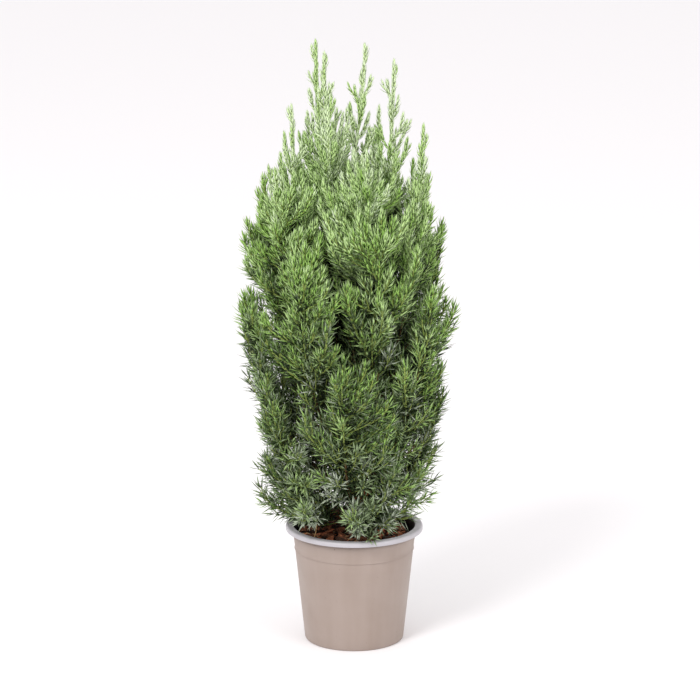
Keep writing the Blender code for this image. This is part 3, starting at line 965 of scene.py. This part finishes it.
def whorls_along(points, tint, radius, seeded):
    """The needles along a shoot: foot, way, outward side, length, angle, tint and width of each."""
    travel = travel_along(points)
    length = travel[-1]
    high = needle_habit(points[-1][2])
    close = high**NEEDLES_CLOSE
    spacing = mix(*WHORL_SPACING, close)
    count = max(int(length / spacing), 2)
    places = np.linspace(spacing * 0.5, length, count)
    feet = read_along(places, travel, points)
    ways = unit(read_along(places, travel, np.gradient(points, axis=0)))
    across, beside = cross_frame(ways)
    turns = seeded.uniform(0, tau) + np.arange(count)[:, None] * WHORL_TURN
    turns = turns + np.arange(WHORL) * tau / WHORL
    turns = turns + RANDOM.uniform(-WHORL_WANDERS, WHORL_WANDERS, turns.shape)
    out = across[:, None] * np.cos(turns)[..., None] + beside[:, None] * np.sin(turns)[..., None]
    near_tip = 1 - smooth((length - places) / mix(*TIP_REACH, high))
    size = mix(*NEEDLE_LENGTHS, high**NEEDLES_SHORTEN)
    size = size * (1 - (1 - mix(*TIP_SHORTENS, high)) * near_tip)
    angle = mix(*NEEDLE_ANGLES, close) * (1 - (1 - mix(*TIP_CLOSES, high)) * near_tip)
    total = count * WHORL
    names = list(TINTS)
    # Needles far back from the tip get a darker tint: partly their older colour, partly painted
    # shade
    old = np.repeat(length - places, WHORL) > RANDOM.uniform(*OLD_AND_SHADED_FROM, total)
    old = old & (points[-1][2] < ALL_IN_LIGHT_Z)
    tints = np.where(old, names.index(OLD_AND_SHADED_TINTS.get(tint, "shade")), names.index(tint))
    return (
        np.repeat(feet, WHORL, axis=0) + out.reshape(-1, 3) * radius * NEEDLE_ROOTED,
        np.repeat(ways, WHORL, axis=0),
        out.reshape(-1, 3),
        np.repeat(size, WHORL) * RANDOM.uniform(*NEEDLE_VARIATION, total),
        np.repeat(angle, WHORL) * RANDOM.uniform(*VARIES_MOST, total),
        tints,
        np.full(total, mix(*NEEDLE_WIDTHS, high)),
    )


def needles_mesh(name, feet, ways, out, size, angle, tint, width):
    """Closed needles: a broad foot, parallel sides and a sharp tip, flat above and keeled below."""
    along = out * np.sin(angle)[:, None] + ways * np.cos(angle)[:, None]
    upper = unit(ways * np.sin(angle)[:, None] - out * np.cos(angle)[:, None])
    side = np.cross(along, upper)
    length = size[:, None]
    half = 0.5 * width[:, None]
    middle = feet + along * length * NEEDLE_MIDDLE
    tip = feet + along * length + upper * length * NEEDLE_CURL
    keep = ~(blocked(tip) | blocked(middle))
    foot = half * NEEDLE_FOOT_WIDTH
    corners = (
        feet + side * foot,
        feet - side * foot,
        middle + side * half,
        middle - side * half,
        middle - upper * NEEDLE_THICK,
        tip,
    )
    corners = np.stack(corners, 1)[keep]
    upper_faces = ((0, 1, 3), (0, 3, 2), (2, 3, 5))
    back_faces = ((1, 0, 4), (0, 2, 4), (3, 1, 4), (4, 2, 5), (3, 4, 5))
    one = np.array(upper_faces + back_faces)
    faces = one[None] + corners.shape[1] * np.arange(len(corners))[:, None, None]
    is_upper = np.arange(len(one)) < len(upper_faces)
    slots = 2 * tint[keep][:, None] + is_upper[None]
    return mesh_of(name, corners.reshape(-1, 3), faces.reshape(-1, 3), slots.ravel())


def needles_of(name, growth):
    """All the needles on a mass's shoots, as one mesh."""
    seeded = Random(f"{name} needles")
    parts = []
    for points, (radii, tint, _) in zip(growth.shoots, growth.habits):
        parts.append(whorls_along(points, tint, radii[0], seeded))
    for points, _, tint in growth.stems:
        parts.append(whorls_along(points, tint, STEM_TIP_RADIUS, seeded))
    columns = [np.concatenate(column) for column in zip(*parts)]
    return needles_mesh(f"needles_{name}", *columns)


def add_mass(label, growth, paints, twig_paints, replaced=()):
    """The needles and the twigs of one mass, as two pieces."""
    add_piece(needles_of(label, growth), paints, replaced)
    add_piece(twigs_mesh(label, growth), twig_paints)


def grow_inner():
    """Shaded leafy shoots dealt round the trunk, which close the crown's inside."""
    seeded = Random("inner growth")
    growth = Growth()
    z, top = INNER_HEIGHTS
    number = 0
    while z < top:
        share = (z - INNER_HEIGHTS[0]) / (top - INNER_HEIGHTS[0])
        length = mix(*INNER_LENGTHS, share) * seeded.uniform(*INNER_VARIATION)
        angle = INNER_ANGLE * seeded.uniform(*VARIES)
        spray = shoot(trunk_point(z), UP, number * GOLDEN_ANGLE, length, angle)
        grow_spray(growth, spray, length, deal_inside(seeded, z), False, seeded)
        z += INNER_SPACING * seeded.uniform(*VARIES_MORE)
        number += 1
    return growth


def twigs_mesh(name, growth):
    """The stems and shoots of a mass, brown where they are old and green where they are young."""
    radii, _, young = zip(*growth.habits)
    verts, faces = tubes(np.stack(growth.shoots), np.stack(radii), 3)
    slots = np.repeat(np.array(young, int), len(faces) // len(young))
    for points, radius, _ in growth.stems:
        radii = np.linspace(radius, STEM_TIP_RADIUS, STEM_POINTS)[None]
        stem_verts, stem_faces = tubes(points[None], radii, 6)
        left = norm(stem_verts - points[-1], axis=1)[stem_faces[:, 0]]
        young = left < 0.5 * YOUNG_WITHIN
        faces = np.concatenate((faces, stem_faces + len(verts)))
        verts = np.concatenate((verts, stem_verts))
        slots = np.concatenate((slots, young.astype(int)))
    return mesh_of(f"twigs_{name}", verts, faces, slots)


# Trunk and boughs with their bark's relief


def bark_relief(angle, travel, seed):
    """The height of the bark's strips at a place on a limb, from -1 to 1."""
    around = Vector((cos(angle), sin(angle), 0))
    height = 0
    for weight, scale, rate in BARK_NOISES:
        place = Vector((around.x * scale, around.y * scale, travel * rate + seed))
        height += weight * noise.noise(place)
    return height


def add_limb(bark, name, replaced, points, radii, sides, relief, seed):
    """A closed limb along some points, its surface raised and sunk by the bark's relief."""
    turns = turns_of(sides)
    heights = [[bark_relief(turn, z, seed) for turn in turns] for z in travel_along(points)]
    radii = np.array(radii)[:, None] * (1 + relief * np.array(heights))
    mesh = mesh_of(name, *tubes(points[None], radii, sides))
    mesh.shade_smooth()
    add_piece(mesh, [bark], [replaced])


def make_trunk(bark):
    heights = np.linspace(MIX_Z - TRUNK_SUNK, TRUNK_TOP_Z, TRUNK_RINGS)
    points = np.stack([trunk_point(z) for z in heights])
    radii = [trunk_radius(max(z, MIX_Z + GAP)) for z in heights]
    add_limb(bark, "trunk_bark", "trunk", points, radii, *TRUNK_BARK)


def make_boughs(plumes, bark):
    for plume in plumes:
        if not plume.bough_end:
            continue
        steps = np.linspace(BOUGH_ENDS[0], plume.bough_end + BOUGH_ENDS[1], BOUGH_RINGS)
        collar = COLLAR * np.exp(-steps / COLLAR_LENGTH)
        radii = np.linspace(*BOUGH_RADII, BOUGH_RINGS) * (1 + collar)
        names = (f"bark_{plume.label}", f"bough_{plume.label}")
        add_limb(bark, *names, plume.at(steps), radii, *BOUGH_BARK, plume.phase * 10)


# Pot


def pot_radius(z):
    return RIM_RADIUS - LIP_OVERHANG - (POT_HEIGHT - z) * WALL_SLOPE


def arc(centre, radius, start, end, steps):
    """Points of a circle's arc in the profile, between two angles in degrees."""
    x, z = centre
    angles = [radians(mix(start, end, i / steps)) for i in range(steps + 1)]
    return [(x + radius * cos(angle), z + radius * sin(angle)) for angle in angles]


def wall_points(start, end, steps, inset=0):
    """Points along the pot's wall, or along its inner face, between two heights."""
    heights = [mix(start, end, i / steps) for i in range(steps + 1)]
    return [(pot_radius(z) - inset, z) for z in heights]


def wall_steps(z, steps):
    """Points off the pot's wall, each so far out and up from it at one height."""
    return [(pot_radius(z) + out, z + up) for out, up in steps]


def pot_profile():
    """The pot's points from its inside floor over the rim to its underside, each with its slot."""
    low = FLOOR + FLOOR_ROUND
    inside = [(0, FLOOR)]
    inside += arc((pot_radius(FLOOR) - WALL - FLOOR_ROUND, low), FLOOR_ROUND, -90, 0, 4)
    inside += wall_points(low, POT_HEIGHT - 0.004, 8, WALL)[1:-1]
    inner = pot_radius(POT_HEIGHT) - WALL
    lip_in = arc((inner + LIP_ROUND_IN, POT_HEIGHT - LIP_ROUND_IN), LIP_ROUND_IN, 180, 90, 6)
    inside += lip_in[:2]
    rim = lip_in[2:]
    rim += arc((RIM_RADIUS - LIP_ROUND_OUT, POT_HEIGHT - LIP_ROUND_OUT), LIP_ROUND_OUT, 90, 0, 8)
    edge_z = POT_HEIGHT - LIP_DROP + LIP_EDGE
    rim += arc((RIM_RADIUS - LIP_EDGE, edge_z), LIP_EDGE, 0, -90, 3)
    skirt = RIM_RADIUS - WALL
    rim += arc((skirt + LIP_EDGE, edge_z), LIP_EDGE, -90, -180, 3)
    roof = POT_HEIGHT - WALL
    body = [(skirt, roof - ROOF_ROUND), (skirt - ROOF_ROUND, roof)]
    body += wall_steps(roof, ((0.0002, 0),))
    body += wall_steps(SWELL_Z, SWELL)
    body += wall_points(SWELL_Z - SWELL_ENDS, RIDGE_Z + 0.0012, 3)[1:]
    body += wall_steps(RIDGE_Z, RIDGE)
    body += wall_points(RIDGE_Z - 0.0008, FOOT_ROUND, 8)
    foot = pot_radius(0)
    body += arc((foot - FOOT_ROUND, FOOT_ROUND), FOOT_ROUND, 0, -90, 5)[1:]
    body += [(foot * share, 0) for share in (0.9, 0.6, 0.3, 0)]
    stretches = (inside, rim, body)
    return [(point, slot) for points, slot in zip(stretches, (2, 1, 0)) for point in points]


def make_pot():
    points, slots = zip(*pot_profile())
    turns = turns_of(POT_SEGMENTS)
    rings = [[(*polar(x, turn), z) for turn in (turns if x else turns[:1])] for x, z in points]
    mesh = turned_mesh("pot_shell", rings, slots)
    mesh.set_sharp_from_angle(angle=radians(50))
    pot = add_piece(mesh, [pot_paint(), rim_paint(), inside_paint()], ["pot"])
    drill_holes(pot)


def drill_holes(pot):
    """The drain holes in the floor, cut and applied."""
    bm = bmesh.new()
    for i in range(DRAIN_COUNT):
        hole = bmesh.ops.create_cone(bm, cap_ends=True, **DRILL)
        turn = tau * (i + 0.5) / DRAIN_COUNT
        offset = DRAIN_RING_RADIUS * Vector((cos(turn), sin(turn), 0))
        bmesh.ops.translate(bm, verts=hole["verts"], vec=offset)
    drill = put(mesh_from(bm, "drill"))
    cut = pot.modifiers.new("drain holes", "BOOLEAN")
    cut.operation = "DIFFERENCE"
    cut.object = drill
    bpy.context.view_layer.update()
    graph = bpy.context.evaluated_depsgraph_get()
    pot.data = bpy.data.meshes.new_from_object(pot.evaluated_get(graph))
    pot.modifiers.clear()
    bpy.data.objects.remove(drill, do_unlink=True)


# Potting mix, chips and straws


def mix_height(x, y):
    """The lumpy top of the potting mix, level round the trunk and lower at the wall."""
    radius = hypot(x, y)
    lumps = noise.noise(Vector((x, y, 0.3)) * LUMPS[0]) * LUMPS[1]
    crumbs = noise.noise(Vector((x, y, 0.9)) * CRUMBS[0]) * CRUMBS[1]
    edge = smooth((radius - EDGE_FROM) / SLOPES_OVER) * EDGE_DROP
    return MIX_Z + (lumps + crumbs) * smooth((radius - LEVEL_WITHIN) / SLOPES_OVER) - edge


def make_mix(soil):
    turns = turns_of(MIX_SEGMENTS)
    wall = pot_radius(MIX_Z) - WALL - MIX_TOP_GAP
    rings = [[(0, 0, mix_height(0, 0))]]
    for i in range(1, MIX_RINGS + 1):
        places = [polar(wall * (i / MIX_RINGS) ** MIX_RING_POWER, turn) for turn in turns]
        rings.append([(x, y, mix_height(x, y)) for x, y in places])
    bottom = FLOOR + GAP
    foot = pot_radius(bottom) - WALL - MIX_FOOT_GAP
    rings.append([(*polar(foot, turn), bottom) for turn in turns])
    mesh = turned_mesh("soil", rings, [0] * len(rings))
    add_piece(mesh, [soil], ["potting_mix"])


def chip_shape(seeded, long, broad, thick, cuts):
    """A bark chip: a block with worn corners and a split, uneven surface."""
    bm = bmesh.new()
    bmesh.ops.create_cube(bm, size=1)
    bmesh.ops.subdivide_edges(bm, edges=bm.edges, cuts=cuts, use_grid_fill=True)
    shift = Vector([seeded.uniform(-9, 9) for _ in range(3)])
    fineness, strength = CHIP_ROUGH
    for vert in bm.verts:
        co = vert.co
        co.y *= 1 - CHIP_NARROWS[0] * abs(2 * co.x) ** CHIP_NARROWS[1]
        co.z *= 1 - CHIP_THINS[0] * abs(2 * co.x) ** CHIP_THINS[1]
        place = co * fineness + shift
        rough = [noise.noise(place + Vector((apart, 0, 0))) for apart in NOISES_APART]
        co += Vector(rough) * strength
        co.x *= long
        co.y *= broad
        co.z *= thick
    return bm


def make_chips(paints):
    """Bark chips and crumbs strewn on the potting mix, lying flat or tilted a little."""
    seeded = Random(11)
    joined = bmesh.new()
    wall = pot_radius(MIX_Z) - WALL
    sizes = [size for count, size in CHIP_SIZES for _ in range(count)]
    for long, broad, thick in sizes:
        scale = seeded.uniform(*CHIP_SCALES)
        reach = wall - 0.5 * long * scale - CHIP_FROM_WALL
        radius = reach * sqrt(seeded.uniform(0.03, 1))
        x, y = polar(radius, seeded.uniform(0, tau))
        if radius < FLARE_RADIUS + 0.5 * long:
            continue
        cuts = 2 if long > CRUMB else 1
        bm = chip_shape(seeded, long * scale, broad * scale, thick * scale, cuts)
        spin = seeded.uniform(0, tau)
        leans = [seeded.uniform(-CHIP_TILT, CHIP_TILT) for _ in range(2)]
        turned = Vector((0, 0, 1)).rotation_difference(Vector((*leans, 1)).normalized())
        place = Vector((x, y, mix_height(x, y) + CHIP_SUNK * thick * scale))
        slot = seeded.choices((0, 1, 2), weights=CHIP_SHARES)[0]
        x, y = polar(1, spin)
        for vert in bm.verts:
            co = vert.co.copy()
            co.x, co.y = co.x * x - co.y * y, co.x * y + co.y * x
            vert.co = turned @ co + place
        for face in bm.faces:
            face.material_index = slot
        mesh = mesh_from(bm, "chip")
        joined.from_mesh(mesh)
        bpy.data.meshes.remove(mesh)
    add_piece(mesh_from(joined, "bark_chips"), paints)


def lying_straw(seeded):
    """The points of a straw or dropped needle that lies bent on the mix."""
    length = seeded.uniform(*STRAW_LENGTHS)
    radius = STRAWS_FROM_MIDDLE * sqrt(seeded.uniform(0.06, 1)) * (1 - length)
    middle = np.array((*polar(radius, seeded.uniform(0, tau)), 0))
    way = np.array((*polar(1, seeded.uniform(0, tau)), 0))
    bend = np.array((-way[1], way[0], 0)) * seeded.uniform(-STRAW_BEND, STRAW_BEND)
    line = []
    for i in range(STRAW_POINTS):
        share = i / (STRAW_POINTS - 1) - 0.5
        point = middle + way * length * share + bend * length * (0.25 - share * share) * 4
        away = hypot(point[0], point[1])
        if away > STRAWS_WITHIN:
            point = point * STRAWS_WITHIN / away
        point[2] = mix_height(point[0], point[1]) + STRAW_LIFT + STRAW_END_LIFT * abs(share)
        line.append(point)
    return line


def leaning_straw():
    """The one longer straw that stands up out of the mix at the front left."""
    foot, tip = np.array(LEANING_ENDS)
    share = np.linspace(0, 1, STRAW_POINTS)[:, None]
    return mix(foot, tip, share) + LEANING_BOW * np.sin(pi * share)


def make_straws(paint):
    seeded = Random(23)
    lines = []
    radii = []
    for _ in range(STRAW_COUNT):
        lines.append(lying_straw(seeded))
        radii.append(np.full(STRAW_POINTS, seeded.uniform(*STRAW_RADII)))
    lines.append(leaning_straw())
    radii.append(np.full(STRAW_POINTS, LEANING_RADIUS))
    mesh = mesh_of("straws", *tubes(np.array(lines), np.array(radii), 5))
    mesh.shade_smooth()
    add_piece(mesh, [paint])


# Camera, lights and floor


def look_at(obj, place, target):
    obj.location = place
    obj.rotation_euler = (Vector(target) - Vector(place)).to_track_quat("-Z", "Y").to_euler()


def make_camera():
    data = bpy.data.cameras.new("camera")
    camera = put(data)
    place = Vector((CAMERA_X, -CAMERA_DISTANCE, CAMERA_Z))
    look_at(camera, place, AIM)
    data.sensor_width = SENSOR
    data.sensor_fit = "HORIZONTAL"
    data.lens = SENSOR * (place - AIM).length / FRAME_HEIGHT
    data.clip_end = 100
    bpy.context.scene.camera = camera


def make_stage():
    floor_mesh = bpy.data.meshes.new("floor")
    half = FLOOR_SIZE / 2
    corners = [(-half, -half, 0), (half, -half, 0), (half, half, 0), (-half, half, 0)]
    floor_mesh.from_pydata(corners, [], [(0, 1, 2, 3)])
    floor_paint = Paint("pale floor", (255, 255, 255), 0.9, 0.1)
    floor_paint.shader["Base Color"].default_value = FLOOR_COLOUR
    floor_mesh.materials.append(floor_paint.material)
    floor = put(floor_mesh)
    world = bpy.data.worlds.new("soft white")
    world.use_nodes = True
    background = world.node_tree.nodes["Background"]
    background.inputs["Color"].default_value = WORLD_COLOUR
    background.inputs["Strength"].default_value = 1.0
    bpy.context.scene.world = world
    for name, place, size, power in LIGHTS:
        data = bpy.data.lights.new(name, "AREA")
        data.shape = "DISK"
        data.size = size
        data.energy = power
        look_at(put(data), place, LIGHT_AIM)
    bpy.context.scene.view_settings.view_transform = "Standard"


def main():
    make_camera()
    make_stage()
    make_pot()
    make_mix(soil_paint())
    make_chips(
        [
            chip_paint("bark chip red", (132, 70, 46), (200, 130, 94)),
            chip_paint("bark chip brown", (82, 50, 36), (142, 94, 68)),
            chip_paint("bark chip dark", (36, 24, 20), (76, 50, 38)),
        ]
    )
    make_straws(straw_paint())
    bark = bark_paint()
    plumes = plan_plumes()
    make_trunk(bark)
    make_boughs(plumes, bark)
    paints = needle_paints()
    old_twig = Paint("old twig", (112, 90, 58), 0.8, 0.2).material
    twig_paints = [old_twig, Paint("young twig", (146, 162, 86), 0.7, 0.25).material]
    spire_paints = [old_twig, Paint("soft twig", (188, 210, 136), 0.7, 0.25).material]
    growths = [grow_mass(plume) for plume in plumes]
    fill_crown(plumes, growths)
    for plume, growth in zip(plumes, growths):
        young = spire_paints if plume.group == "top" else twig_paints
        add_mass(plume.label, growth, paints, young, [f"foliage_{plume.label}"])
    add_mass("inner", grow_inner(), paints, twig_paints)


main()
